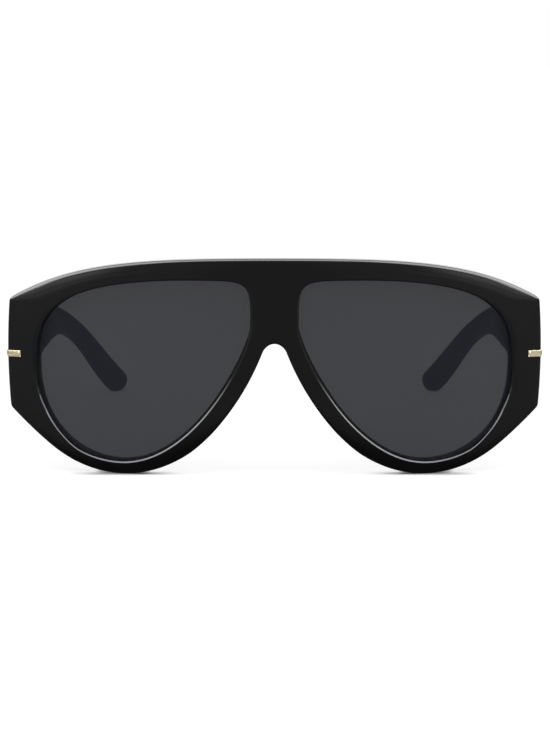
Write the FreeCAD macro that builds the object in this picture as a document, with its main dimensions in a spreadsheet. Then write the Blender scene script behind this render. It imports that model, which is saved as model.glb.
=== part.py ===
import FreeCAD, Part
import math
import os

# Oversized flat-top sunglasses, in millimetres.
# Modelled with the middle of the front face at y = 0; each finished piece is then moved forward, so that
# the origin lies on the table under the middle of the whole object.
# +X is the wearer's left, the front faces -Y and +Z is up.

Vector = FreeCAD.Vector

SIZES = {
    # Front
    "lens_width": 58.4,
    "lens_height": 50.2,
    "bridge_gap": 13.4,
    "end_width": 8.9,
    "rim_bottom": 3.7,
    "brow_height": 6.1,
    "front_thickness": 5.5,
    "front_curve": 265.0,
    "brow_end_angle": 30.4,
    "upper_corner_drop": 12.0,
    "upper_corner_inset": 0.7,
    "lower_corner_height": 17.8,
    "lower_corner_inset": 0.6,
    "corner_round": 1.5,
    "slant_turn_angle": 4.6,
    "nose_side_angle": 46.0,
    "arch_radius": 3.55,
    "edge_bevel": 0.5,
    "opening_bevel": 0.9,
    # Lenses, seated in a groove round each opening
    "lens_thickness": 1.9,
    "lens_setback": 1.8,
    "groove_depth": 0.8,
    "lens_clearance": 0.05,
    # Nose pads on the back of the rims
    "pad_start_angle": 55.5,
    "pad_end_angle": 63.5,
    "pad_width": 4.4,
    "pad_depth": 3.8,
    "pad_inset": 2.6,
    # Corner trims, let into the ends of the front
    "trim_height": 2.05,
    "trim_reach": 3.9,
    "trim_depth": 0.8,
    "trim_proud": 0.25,
    "trim_side_proud": 0.5,
    "trim_back_margin": 1.0,
    # Temples
    "temple_depth": 137.0,
    "temple_inset": 0.6,
    "temple_thickness": 3.8,
    "tip_thickness": 3.2,
    "temple_end_height": 18.8,
    "temple_bend_height": 10.6,
    "temple_rise": 0.8,
    "temple_splay": 0.8,
    "butt_gap": 0.15,
    "plan_bend_run": 46.4,
    "plan_bend_radius": 47.7,
    "tip_turn_angle": 31.2,
    "lower_bend_run": 37.5,
    "upper_bend_run": 45.9,
    "tip_width": 6.5,
    "tip_angle": 41.3,
    # Core wires inside the temples
    "core_height": 2.0,
    "core_thickness": 1.2,
    "core_gap": 1.5,
    "core_tip_gap": 9.0,
    # Hinges
    "hinge_offset": 1.7,
    "hinge_setback": 2.2,
    "barrel_diameter": 2.8,
    "knuckle_height": 2.2,
    "knuckle_gap": 0.08,
    "leaf_thickness": 1.0,
    "leaf_proud": 0.1,
    "front_leaf_width": 3.2,
    "front_leaf_margin": 0.3,
    "front_leaf_height": 16.0,
    "temple_leaf_length": 12.0,
    "temple_leaf_height": 9.0,
    "temple_leaf_clearance": 0.15,
    "screw_diameter": 1.3,
    "screw_clearance": 0.05,
    "screw_head_diameter": 2.2,
    "screw_head_height": 0.6,
    "screw_slot_width": 0.35,
    "screw_slot_depth": 0.3,
    "rivet_diameter": 1.0,
    "rivet_head_diameter": 1.6,
    "rivet_head_height": 0.3,
    "rivet_length": 2.2,
    "rivet_edge": 1.3,
    "rivet_pitch": 4.0,
    "fit_clearance": 0.03,
    # How far a cutting block runs past what it cuts
    "overcut": 3.0,
}

KNUCKLES = 5

# Lens shape: where each side of its box is touched, as a part of the box, and how full each quarter is.
LENS_TOUCH = {"top": 0.25, "outer": 0.51, "bottom": 0.60, "nasal": 0.76}
LENS_FULLNESS = {
    "top_outer": (0.98, 0.49),
    "outer_bottom": (0.65, 0.51),
    "bottom_nasal": (0.57, 0.15),
    "nasal_top": (0.96, 0.98),
}
# Rim below the lens, as parts of the lens width: where its round bottom is lowest and its two radii.
RIM_RATIOS = {"bottom_ratio": 0.603, "bottom_radius_ratio": 0.5425, "nose_side_radius_ratio": 1.276}
# How full the brow curve is at its middle and at its end, as parts of its width.
BROW_FULLNESS = {"middle": 0.518, "end": 0.276}
# How full the bend of a temple is, as a part of the straight distance across it.
BEND_FULLNESS = 0.43

DERIVED = {
    "lens_in": "Sizes.bridge_gap / 2",
    "lens_out": "Sizes.bridge_gap / 2 + Sizes.lens_width",
    "lens_bottom": "Sizes.rim_bottom",
    "lens_top": "Sizes.rim_bottom + Sizes.lens_height",
    "half_width": "lens_out + Sizes.end_width",
    "front_height": "lens_top + Sizes.brow_height",
    "back_curve": "Sizes.front_curve - Sizes.front_thickness",
    "lens_curve": "Sizes.front_curve - Sizes.lens_setback",
    "bottom_x": f"lens_in + {RIM_RATIOS['bottom_ratio']} * Sizes.lens_width",
    "bottom_radius": f"{RIM_RATIOS['bottom_radius_ratio']} * Sizes.lens_width",
    "nose_side_radius": f"{RIM_RATIOS['nose_side_radius_ratio']} * Sizes.lens_width",
    "upper_corner_z": "front_height - Sizes.upper_corner_drop",
    "side_middle": "(upper_corner_z + Sizes.lower_corner_height) / 2",
    "temple_outer": "half_width - Sizes.temple_inset",
    "temple_inner": "temple_outer - Sizes.temple_thickness",
    "hinge_x": "temple_inner - Sizes.hinge_offset",
    "hinge_seat": "Sizes.front_curve - sqrt(back_curve ^ 2 - hinge_x ^ 2)",
    "hinge_y": "hinge_seat + Sizes.hinge_setback",
    "hinge_z": "side_middle + Sizes.temple_rise",
    "temple_low": "hinge_z - Sizes.temple_end_height / 2",
    "barrel_radius": "Sizes.barrel_diameter / 2",
    "hinge_height": f"{KNUCKLES} * Sizes.knuckle_height",
    "hinge_low": "hinge_z - hinge_height / 2",
    "leaf_back": "hinge_seat + Sizes.leaf_proud",
    "leaf_front": "leaf_back - Sizes.leaf_thickness",
    "leaf_start": "hinge_x - barrel_radius - Sizes.front_leaf_margin",
    "temple_leaf_in": "hinge_x + barrel_radius + Sizes.temple_leaf_clearance",
    "temple_leaf_out": "temple_leaf_in + Sizes.leaf_thickness",
    "tool_depth": "Sizes.overcut * 2 + back_curve - sqrt(back_curve ^ 2 - half_width ^ 2)"
                  " + Sizes.front_thickness",
    "origin_shift": "-Sizes.temple_depth / 2",
}

doc = FreeCAD.newDocument("sunglasses")


def fill_sheet(name, cells, formula):
    sheet = doc.addObject("Spreadsheet::Sheet", name)
    for row, (alias, value) in enumerate(cells.items(), start=1):
        sheet.set(f"A{row}", alias)
        sheet.setAlias(f"B{row}", alias)
        sheet.set(f"B{row}", f"={value}" if formula else str(value))
    doc.recompute()
    return sheet


sizes = fill_sheet("Sizes", SIZES, False)
derived = fill_sheet("Derived", DERIVED, True)


def size(name):
    return float(getattr(sizes, name))


def place(name):
    return float(getattr(derived, name))


# Document objects

def feature(name, shape):
    item = doc.addObject("Part::Feature", name)
    item.Shape = shape
    return item


def extrude(name, outline, direction, length):
    item = doc.addObject("Part::Extrusion", name)
    item.Base = outline
    item.DirMode = "Custom"
    item.Dir = direction
    item.Solid = True
    item.setExpression("LengthFwd", length)
    return item


def box(name, low, high):
    item = doc.addObject("Part::Box", name)
    for axis, side, start, end in zip("xyz", ("Length", "Width", "Height"), low, high):
        item.setExpression(f"Placement.Base.{axis}", start)
        item.setExpression(side, f"({end}) - ({start})")
    return item


def rod(name, radius, length, start, turn=None):
    item = doc.addObject("Part::Cylinder", name)
    if turn:
        item.Placement.Rotation = FreeCAD.Rotation(*turn)
    item.setExpression("Radius", radius)
    item.setExpression("Height", length)
    for axis, value in zip("xyz", start):
        item.setExpression(f"Placement.Base.{axis}", value)
    return item


def common(name, *pieces):
    item = doc.addObject("Part::MultiCommon", name)
    item.Shapes = list(pieces)
    return item


def fuse(name, *pieces):
    item = doc.addObject("Part::MultiFuse", name)
    item.Shapes = list(pieces)
    item.Refine = True
    return item


def cut(name, base, *tools):
    item = doc.addObject("Part::Cut", name)
    item.Base = base
    item.Tool = tools[0] if len(tools) == 1 else fuse(f"{name}_tools", *tools)
    item.Refine = True
    return item


def mirror(name, source):
    item = doc.addObject("Part::Mirroring", name)
    item.Source = source
    item.Normal = Vector(1, 0, 0)
    return item


ALONG_Y = (Vector(1, 0, 0), -90)
ALONG_X = (Vector(0, 1, 0), 90)


def round_front(name, radius):
    """Upright cylinder about the centre of the front's curve."""
    return rod(name, radius, "Derived.front_height + 2 * Sizes.overcut",
               ("0", "Sizes.front_curve", "-Sizes.overcut"))


def shell(name, outer, inner):
    return cut(name, round_front(f"{name}_outer", outer), round_front(f"{name}_inner", inner))


# Outlines

def front_point(x, z):
    return Vector(x, -size("overcut"), z)


def side_point(y, z):
    return Vector(0, y, z)


def plan_point(x, y):
    return Vector(x, y, -size("overcut"))


def bezier(*poles):
    curve = Part.BezierCurve()
    curve.setPoles(list(poles))
    return curve.toShape()


def arc(start, middle, end):
    return Part.Arc(start, middle, end).toShape()


def line(start, end):
    return Part.LineSegment(start, end).toShape()


def face(edges):
    return Part.Face(Part.Wire(Part.__sortEdges__(edges)))


def lens_edges(grow):
    """Four curves between the points where the lens touches its box, with the box larger by grow."""
    left, right = place("lens_in") - grow, place("lens_out") + grow
    low, high = place("lens_bottom") - grow, place("lens_top") + grow
    top_x = left + LENS_TOUCH["top"] * (right - left)
    bottom_x = left + LENS_TOUCH["bottom"] * (right - left)
    outer_z = low + LENS_TOUCH["outer"] * (high - low)
    nasal_z = low + LENS_TOUCH["nasal"] * (high - low)
    corners = [(top_x, high), (right, outer_z), (bottom_x, low), (left, nasal_z), (top_x, high)]
    edges = []
    for index, (first, second) in enumerate(LENS_FULLNESS.values()):
        (x0, z0), (x1, z1) = corners[index], corners[index + 1]
        if index % 2 == 0:
            handles = (x0 + first * (x1 - x0), z0), (x1, z1 + second * (z0 - z1))
        else:
            handles = (x0, z0 + first * (z1 - z0)), (x1 + second * (x0 - x1), z1)
        edges.append(bezier(*(front_point(*p) for p in ((x0, z0), *handles, (x1, z1)))))
    return edges


def on_circle(centre, radius, angle):
    """Point on a circle, with the angle in degrees from straight down, positive towards -X."""
    turn = math.radians(angle)
    return centre[0] - radius * math.sin(turn), centre[1] - radius * math.cos(turn)


def nose_side_centre():
    radius = place("bottom_radius")
    spread = place("nose_side_radius") - radius
    turn = math.radians(size("nose_side_angle"))
    return place("bottom_x") + spread * math.sin(turn), radius + spread * math.cos(turn)


def half_front_edges():
    """Outline of the wearer's left half of the front, from the top middle round to the nose arch."""
    height, half = place("front_height"), place("half_width")
    upper = half - size("upper_corner_inset"), place("upper_corner_z")
    lower = half - size("lower_corner_inset"), size("lower_corner_height")
    # The brow is level in the middle and falls to the upper corner.
    fall = math.radians(size("brow_end_angle"))
    reach = BROW_FULLNESS["end"] * upper[0]
    brow_handles = ((BROW_FULLNESS["middle"] * upper[0], height),
                    (upper[0] - reach * math.cos(fall), upper[1] + reach * math.sin(fall)))
    # A wide arc runs from the lower corner into the round bottom of the rim.
    radius = place("bottom_radius")
    bottom = place("bottom_x"), radius
    away = lower[0] - bottom[0], lower[1] - bottom[1]
    straight_angle = -math.degrees(math.atan2(away[0], -away[1])
                                   - math.acos(radius / math.hypot(*away)))
    outer_angle = straight_angle + size("slant_turn_angle")
    meet = on_circle(bottom, radius, outer_angle)
    along = (away[0] * (meet[0] - bottom[0]) + away[1] * (meet[1] - bottom[1])) / radius
    slant_radius = math.dist(lower, meet) ** 2 / (2 * (radius - along))
    slant = on_circle(bottom, radius - slant_radius, outer_angle)
    lower_angle = math.degrees(math.atan2(slant[0] - lower[0], slant[1] - lower[1]))
    slant_middle = on_circle(slant, slant_radius, (lower_angle + outer_angle) / 2)
    turn = size("nose_side_angle")
    # The side of the nose meets the arch of the bridge.
    nose, nose_radius = nose_side_centre(), place("nose_side_radius")
    arch = 0, nose[1] - math.sqrt((nose_radius + size("arch_radius")) ** 2 - nose[0] ** 2)
    nose_end = math.degrees(math.atan2(nose[0], nose[1] - arch[1]))
    arch_angle = math.radians(90 - nose_end) / 2 + math.pi / 4
    arch_middle = (size("arch_radius") * math.cos(arch_angle),
                   arch[1] + size("arch_radius") * math.sin(arch_angle))
    stretches = [
        ((0, height), *brow_handles, upper),
        (upper, (half, place("side_middle")), lower),
        (lower, slant_middle, meet),
        tuple(on_circle(bottom, radius, a) for a in (outer_angle, (outer_angle + turn) / 2, turn)),
        tuple(on_circle(nose, nose_radius, a) for a in (turn, (turn + nose_end) / 2, nose_end)),
        (on_circle(nose, nose_radius, nose_end), arch_middle, (0, arch[1] + size("arch_radius"))),
    ]
    makers = {3: arc, 4: bezier}
    return [makers[len(points)](*(front_point(*p) for p in points)) for points in stretches]


def pad_edges():
    """Slot along the side of the nose, with round ends."""
    centre = nose_side_centre()
    middle = place("nose_side_radius") - size("pad_inset")
    half = size("pad_width") / 2
    start, end = size("pad_start_angle"), size("pad_end_angle")
    cap = math.degrees(half / middle)
    radii = middle - half, middle, middle + half
    corner = {(r, a): on_circle(centre, radii[r], a) for r in range(3) for a in (start, end)}
    stretches = [
        (corner[0, start], on_circle(centre, radii[0], (start + end) / 2), corner[0, end]),
        (corner[0, end], on_circle(centre, middle, end + cap), corner[2, end]),
        (corner[2, end], on_circle(centre, radii[2], (start + end) / 2), corner[2, start]),
        (corner[2, start], on_circle(centre, middle, start - cap), corner[0, start]),
    ]
    return [arc(*(front_point(*p) for p in points)) for points in stretches]


def arm_edges(start, low, high, bend_high, cap, cap_radius):
    """Side view of an arm: straight, then bent down to a round end. low and high are (at start, at bend)."""
    angle = math.radians(size("tip_angle"))
    along = Vector(0, math.cos(angle), -math.sin(angle))
    across = Vector(0, math.sin(angle), math.cos(angle)) * cap_radius
    centre = side_point(*cap)
    low_start, low_bend = side_point(start, low[0]), side_point(bend_high[0], low[1])
    top_start, top_bend = side_point(start, high[0]), side_point(bend_high[1], high[1])
    edges = [line(low_start, low_bend), line(top_start, top_bend), line(low_start, top_start)]
    for begin, bend, end in ((low_start, low_bend, centre - across), (top_start, top_bend, centre + across)):
        reach = BEND_FULLNESS * (end - bend).Length
        ahead = (bend - begin).normalize()
        edges.append(bezier(bend, bend + ahead * reach, end - along * reach, end))
    edges.append(arc(centre - across, centre + along * cap_radius, centre + across))
    return edges


def bend_points():
    depth = size("temple_depth")
    return depth - size("lower_bend_run"), depth - size("upper_bend_run")


def temple_side_edges():
    low = place("temple_low")
    radius = size("tip_width") / 2
    return arm_edges(
        place("hinge_seat"), (low, low),
        (low + size("temple_end_height"), low + size("temple_bend_height")),
        bend_points(), (size("temple_depth") - radius, radius), radius)


def core_side_edges(grow):
    """The core runs along the middle of the arm, from behind the hinge to short of the tip."""
    angle = math.radians(size("tip_angle"))
    half = size("core_height") / 2 + grow
    start = place("hinge_y") + size("temple_leaf_length") + size("core_gap")
    low_bend, top_bend = bend_points()
    front_middle = place("temple_low") + size("temple_end_height") / 2
    bend_middle = place("temple_low") + size("temple_bend_height") / 2
    seat = place("hinge_seat")
    slope = (front_middle - bend_middle) / (top_bend - seat)
    start_middle = front_middle - slope * (start - seat)
    radius = size("tip_width") / 2
    cap = (size("temple_depth") - radius - size("core_tip_gap") * math.cos(angle),
           radius + size("core_tip_gap") * math.sin(angle))
    bend = (low_bend + top_bend) / 2
    return arm_edges(
        start - grow, (start_middle - half, bend_middle - half), (start_middle + half, bend_middle + half),
        (bend, bend), cap, half)


def arm_plan_edges(front_inset, tip_inset):
    """Top view of an arm, set in from both faces of the temple: straight, then bent inwards."""
    splay = math.tan(math.radians(size("temple_splay")))
    start = place("hinge_seat")
    bend = size("temple_depth") - size("plan_bend_run")
    radius = size("plan_bend_radius")
    bend_outer = place("temple_outer") - splay * (bend - start)
    outer = place("temple_outer") - front_inset, bend_outer - tip_inset
    inner = place("temple_inner") + front_inset, bend_outer - size("tip_thickness") + tip_inset
    centre = bend_outer - radius
    turn = math.radians(size("tip_turn_angle"))
    edges = []
    ends = []
    for at_front, at_bend in (outer, inner):
        curve = at_bend - centre
        points = [plan_point(centre + curve * math.cos(a), bend + curve * math.sin(a))
                  for a in (0, turn / 2, turn)]
        run = size("temple_depth") + size("overcut") - points[-1].y
        ends.append(points[-1] + Vector(-run * math.tan(turn), run, 0))
        edges.append(line(plan_point(at_front, start), points[0]))
        edges.append(arc(*points))
        edges.append(line(points[-1], ends[-1]))
    edges.append(line(plan_point(outer[0], start), plan_point(inner[0], start)))
    edges.append(line(*ends))
    return edges


# Pieces on the wearer's left

def across(name, edges):
    """Solid of a front-view outline, from ahead of the front to behind it."""
    return extrude(name, feature(f"{name}_outline", face(edges)), Vector(0, 1, 0), "Derived.tool_depth")


def make_lens():
    blank = across("lens_blank", lens_edges(size("groove_depth") - size("lens_clearance")))
    layer = shell("lens_layer", "Derived.lens_curve", "Derived.lens_curve - Sizes.lens_thickness")
    return common("lens", blank, layer)


def make_lens_groove():
    blank = across("groove_blank", lens_edges(size("groove_depth")))
    layer = shell("groove_layer", "Derived.lens_curve + Sizes.lens_clearance",
                  "Derived.lens_curve - Sizes.lens_thickness - Sizes.lens_clearance")
    return common("groove", blank, layer)


def make_nose_pad():
    blank = across("pad_blank", pad_edges())
    layer = shell("pad_layer", "Derived.back_curve", "Derived.back_curve - Sizes.pad_depth")
    return common("pad", blank, layer)


def trim_shape(name, clearance, face_proud, side_proud):
    """Bar round the end of the front: one leg let into its face, one into its side."""
    low_z = f"Derived.side_middle - Sizes.trim_height / 2 - {clearance}"
    high_z = f"Derived.side_middle + Sizes.trim_height / 2 + {clearance}"
    end = f"Derived.half_width + {side_proud}"
    face_leg = common(
        f"{name}_face_leg",
        shell(f"{name}_face", f"Sizes.front_curve + {face_proud}",
              f"Sizes.front_curve - Sizes.trim_depth - {clearance}"),
        box(f"{name}_face_block",
            (f"Derived.half_width - Sizes.trim_reach - {clearance}", "-Sizes.overcut", low_z),
            (end, "Derived.tool_depth", high_z)))
    side_end = "Sizes.front_curve - sqrt(Derived.back_curve ^ 2 - Derived.half_width ^ 2)"
    side_leg = common(
        f"{name}_side_leg",
        round_front(f"{name}_side_limit", f"Sizes.front_curve + {face_proud}"),
        box(f"{name}_side_block",
            (f"Derived.half_width - Sizes.trim_depth - {clearance}", "-Sizes.overcut", low_z),
            (end, f"{side_end} - Sizes.trim_back_margin + {clearance}", high_z)))
    return fuse(name, face_leg, side_leg)


def knuckle_span(index):
    """Lower and upper end of one knuckle, with the running gap to its neighbours."""
    low = f"Derived.hinge_low + {index} * Sizes.knuckle_height"
    below = "Sizes.knuckle_gap / 2" if index > 0 else "0"
    above = "Sizes.knuckle_gap / 2" if index < KNUCKLES - 1 else "0"
    return f"{low} + {below}", f"{low} + Sizes.knuckle_height - {above}"


def make_knuckles(name, indices, web_low, web_high):
    pieces = []
    for index in indices:
        low, high = knuckle_span(index)
        pieces.append(rod(f"{name}_barrel_{index}", "Derived.barrel_radius", f"({high}) - ({low})",
                          ("Derived.hinge_x", "Derived.hinge_y", low)))
        pieces.append(box(f"{name}_web_{index}", (*web_low, low), (*web_high, high)))
    return pieces


def screw_hole(name):
    return rod(name, "Sizes.screw_diameter / 2 + Sizes.screw_clearance",
               "Derived.hinge_height + 2 * Sizes.overcut",
               ("Derived.hinge_x", "Derived.hinge_y", "Derived.hinge_low - Sizes.overcut"))


def front_leaf_block(name, clearance, back):
    return box(name,
               (f"Derived.leaf_start - {clearance}", "Derived.leaf_front",
                f"Derived.hinge_z - Sizes.front_leaf_height / 2 - {clearance}"),
               (f"Derived.leaf_start + Sizes.front_leaf_width + {clearance}", back,
                f"Derived.hinge_z + Sizes.front_leaf_height / 2 + {clearance}"))


def temple_leaf_block(name, clearance, inner, front):
    return box(name,
               (inner, front, f"Derived.hinge_z - Sizes.temple_leaf_height / 2 - {clearance}"),
               ("Derived.temple_leaf_out", f"Derived.hinge_y + Sizes.temple_leaf_length + {clearance}",
                f"Derived.hinge_z + Sizes.temple_leaf_height / 2 + {clearance}"))


FRONT_RIVET_X = "Derived.hinge_x - Sizes.rivet_diameter / 2"
FRONT_RIVET_HEIGHTS = [f"Derived.hinge_z {sign} (Sizes.front_leaf_height / 2 - Sizes.rivet_edge)"
                       for sign in "-+"]
LAST_TEMPLE_RIVET = "Derived.hinge_y + Sizes.temple_leaf_length - Sizes.rivet_edge"
TEMPLE_RIVET_DEPTHS = [f"{LAST_TEMPLE_RIVET} - {n} * Sizes.rivet_pitch" for n in range(2)]


def front_rivet_rod(name, radius, start, end, height):
    return rod(name, radius, f"({end}) - ({start})", (FRONT_RIVET_X, start, height), ALONG_Y)


def temple_rivet_rod(name, radius, start, end, depth):
    return rod(name, radius, f"({end}) - ({start})", (start, depth, "Derived.hinge_z"), ALONG_X)


def front_rivet_holes(name):
    return [front_rivet_rod(f"{name}_{n}", "Sizes.rivet_diameter / 2 + Sizes.fit_clearance",
                            "Derived.leaf_front - Sizes.rivet_length - Sizes.fit_clearance",
                            "Derived.leaf_back + Sizes.overcut", height)
            for n, height in enumerate(FRONT_RIVET_HEIGHTS)]


def temple_rivet_holes(name):
    return [temple_rivet_rod(f"{name}_{n}", "Sizes.rivet_diameter / 2 + Sizes.fit_clearance",
                             "Derived.temple_leaf_in - Sizes.overcut",
                             "Derived.temple_leaf_out + Sizes.rivet_length + Sizes.fit_clearance", depth)
            for n, depth in enumerate(TEMPLE_RIVET_DEPTHS)]


def make_front_leaf():
    block = front_leaf_block("front_leaf_block", "0", "Derived.leaf_back")
    knuckles = make_knuckles(
        "front_leaf", range(0, KNUCKLES, 2),
        ("Derived.hinge_x - Derived.barrel_radius", "Derived.leaf_front + Sizes.leaf_thickness / 2"),
        ("Derived.hinge_x + Derived.barrel_radius", "Derived.hinge_y"))
    return cut("front_leaf", fuse("front_leaf_body", block, *knuckles),
               screw_hole("front_leaf_bore"), *front_rivet_holes("front_leaf_rivet_hole"))


def make_temple_leaf():
    block = temple_leaf_block("temple_leaf_block", "0", "Derived.temple_leaf_in",
                              "Derived.hinge_y - Derived.barrel_radius")
    knuckles = make_knuckles(
        "temple_leaf", range(1, KNUCKLES, 2),
        ("Derived.hinge_x", "Derived.hinge_y - Derived.barrel_radius"),
        ("Derived.temple_leaf_in + Sizes.leaf_thickness / 2", "Derived.hinge_y + Derived.barrel_radius"))
    return cut("temple_leaf", fuse("temple_leaf_body", block, *knuckles),
               screw_hole("temple_leaf_bore"), *temple_rivet_holes("temple_leaf_rivet_hole"))


def make_screw():
    head_low = "Derived.hinge_low + Derived.hinge_height"
    shank = rod("screw_shank", "Sizes.screw_diameter / 2", "Derived.hinge_height",
                ("Derived.hinge_x", "Derived.hinge_y", "Derived.hinge_low"))
    head = rod("screw_head", "Sizes.screw_head_diameter / 2", "Sizes.screw_head_height",
               ("Derived.hinge_x", "Derived.hinge_y", head_low))
    slot = box("screw_slot",
               ("Derived.hinge_x - Sizes.screw_head_diameter", "Derived.hinge_y - Sizes.screw_slot_width / 2",
                f"{head_low} + Sizes.screw_head_height - Sizes.screw_slot_depth"),
               ("Derived.hinge_x + Sizes.screw_head_diameter", "Derived.hinge_y + Sizes.screw_slot_width / 2",
                f"{head_low} + Sizes.screw_head_height + Sizes.overcut"))
    return cut("screw", fuse("screw_body", shank, head), slot)


def make_front_rivets():
    rivets = []
    for n, height in enumerate(FRONT_RIVET_HEIGHTS):
        pin = front_rivet_rod(f"front_rivet_pin_{n}", "Sizes.rivet_diameter / 2",
                              "Derived.leaf_front - Sizes.rivet_length", "Derived.leaf_back", height)
        head = front_rivet_rod(f"front_rivet_head_{n}", "Sizes.rivet_head_diameter / 2",
                               "Derived.leaf_back", "Derived.leaf_back + Sizes.rivet_head_height", height)
        rivets.append(fuse(f"front_rivet_{n}", pin, head))
    return fuse("front_rivets", *rivets)


def make_temple_rivets():
    rivets = []
    for n, depth in enumerate(TEMPLE_RIVET_DEPTHS):
        pin = temple_rivet_rod(f"temple_rivet_pin_{n}", "Sizes.rivet_diameter / 2", "Derived.temple_leaf_in",
                               "Derived.temple_leaf_out + Sizes.rivet_length", depth)
        head = temple_rivet_rod(f"temple_rivet_head_{n}", "Sizes.rivet_head_diameter / 2",
                                "Derived.temple_leaf_in - Sizes.rivet_head_height",
                                "Derived.temple_leaf_in", depth)
        rivets.append(fuse(f"temple_rivet_{n}", pin, head))
    return fuse("temple_rivets", *rivets)


def arm(name, side_edges, plan_edges):
    side = feature(f"{name}_side_outline", face(side_edges))
    plan = feature(f"{name}_plan_outline", face(plan_edges))
    return common(name, extrude(f"{name}_side", side, Vector(1, 0, 0), "Derived.half_width"),
                  extrude(f"{name}_plan", plan, Vector(0, 0, 1), "Derived.front_height + 2 * Sizes.overcut"))


def core_arm(name, grow):
    front_inset = (size("temple_thickness") - size("core_thickness")) / 2 - grow
    tip_inset = (size("tip_thickness") - size("core_thickness")) / 2 - grow
    return arm(name, core_side_edges(grow), arm_plan_edges(front_inset, tip_inset))


def make_temple():
    behind_front = round_front("behind_front", "Derived.back_curve - Sizes.butt_gap")
    blank = common("temple_blank", arm("temple_arm", temple_side_edges(), arm_plan_edges(0, 0)), behind_front)
    # The recess for the hinge leaf is open at the arm's front end.
    recess = temple_leaf_block("temple_leaf_recess", "Sizes.fit_clearance",
                               "Derived.temple_inner - Sizes.overcut", "Derived.hinge_seat - Sizes.overcut")
    return cut("temple", blank, recess, core_arm("core_tunnel", size("fit_clearance")),
               *temple_rivet_holes("temple_rivet_hole"))


# Front

def both_sides(piece):
    return [piece, mirror(f"{piece.Name}_mirrored", piece)]


def bevelled_front():
    """Curved front with its lens openings, rounded corners and bevelled face edges."""
    half = half_front_edges()
    other = [edge.mirror(Vector(), Vector(1, 0, 0)) for edge in half]
    plate = across("front_plate", half + other)
    openings = both_sides(across("lens_opening", lens_edges(0)))
    layer = shell("front_layer", "Sizes.front_curve", "Derived.back_curve")
    blank = cut("front_blank", common("front_curved", plate, layer), *openings)
    doc.recompute()
    body = doc.addObject("PartDesign::Body", "front_body")
    body.BaseFeature = blank
    doc.recompute()
    base = body.Tip
    rounding = body.newObject("PartDesign::Fillet", "front_corners")
    rounding.Base = (base, corner_edges(base.Shape))
    rounding.setExpression("Radius", "Sizes.corner_round")
    doc.recompute()
    base = rounding
    for name, outside, cell in (("front_edge", True, "edge_bevel"), ("opening_edge", False, "opening_bevel")):
        bevel = body.newObject("PartDesign::Chamfer", name)
        bevel.Base = (base, face_rim_edges(base.Shape, outside))
        bevel.setExpression("Size", f"Sizes.{cell}")
        doc.recompute()
        base = bevel
    return body


def corner_edges(shape):
    """Edges of the front that run from front to back at its four outer corners."""
    corners = [(place("half_width") - size("upper_corner_inset"), place("upper_corner_z")),
               (place("half_width") - size("lower_corner_inset"), size("lower_corner_height"))]
    found = []
    for number, edge in enumerate(shape.Edges, start=1):
        middle = edge.CenterOfMass
        if any(math.hypot(abs(middle.x) - x, middle.z - z) < size("corner_round")
               for x, z in corners):
            found.append(f"Edge{number}")
    return found


def face_rim_edges(shape, outside):
    """Edges round the front face: its outside ones, or those of the lens openings."""
    radius = size("front_curve")
    round_faces = [f for f in shape.Faces if isinstance(f.Surface, Part.Cylinder)]
    front_face = next(f for f in round_faces if abs(f.Surface.Radius - radius) < radius * 1e-6)
    rim = [edge for wire in front_face.Wires if wire.isSame(front_face.OuterWire) == outside
           for edge in wire.Edges]
    return [f"Edge{number}" for number, edge in enumerate(shape.Edges, start=1)
            if any(edge.isSame(other) for other in rim)]


def make_front():
    tools = []
    tools += both_sides(make_lens_groove())
    tools += both_sides(trim_shape("trim_slot", "Sizes.fit_clearance", "Sizes.overcut", "Sizes.overcut"))
    tools += both_sides(front_leaf_block("front_leaf_recess", "Sizes.fit_clearance",
                                         "Derived.leaf_back + Sizes.overcut"))
    for hole in front_rivet_holes("front_rivet_hole"):
        tools += both_sides(hole)
    return cut("front", bevelled_front(), *tools)


# Assembly

nodes = {"front_frame": make_front()}
SIDE_PIECES = {
    "lens": make_lens(),
    "nose_pad": make_nose_pad(),
    "corner_trim": trim_shape("trim", "0", "Sizes.trim_proud", "Sizes.trim_side_proud"),
    "hinge_front_leaf": make_front_leaf(),
    "hinge_temple_leaf": make_temple_leaf(),
    "hinge_screw": make_screw(),
    "hinge_front_rivets": make_front_rivets(),
    "hinge_temple_rivets": make_temple_rivets(),
    "temple": make_temple(),
    "core_wire": core_arm("core", 0),
}
for label, piece in SIDE_PIECES.items():
    nodes[f"{label}_left"] = piece
for piece in nodes.values():
    piece.setExpression("Placement.Base.y", "Derived.origin_shift")
for label, piece in SIDE_PIECES.items():
    nodes[f"{label}_right"] = mirror(f"{piece.Name}_right", piece)
for label, piece in nodes.items():
    piece.Label = label
doc.recompute()

for item in doc.Objects:
    if "Invalid" in item.State or "Error" in item.State:
        raise RuntimeError(f"{item.Name} failed: {item.State}")
for label, piece in nodes.items():
    if piece.Shape.isNull() or not piece.Shape.isValid():
        raise RuntimeError(f"{label} is not a valid solid")

os.makedirs("parts", exist_ok=True)
for label, piece in nodes.items():
    piece.Shape.exportStep(f"parts/{label}.step")
    bounds = piece.Shape.BoundBox
    print(f"{label}: {len(piece.Shape.Solids)} solid, {piece.Shape.Volume:.1f} mm3,"
          f" x {bounds.XMin:.2f}..{bounds.XMax:.2f}, y {bounds.YMin:.2f}..{bounds.YMax:.2f},"
          f" z {bounds.ZMin:.2f}..{bounds.ZMax:.2f}")
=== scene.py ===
import math

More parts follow.
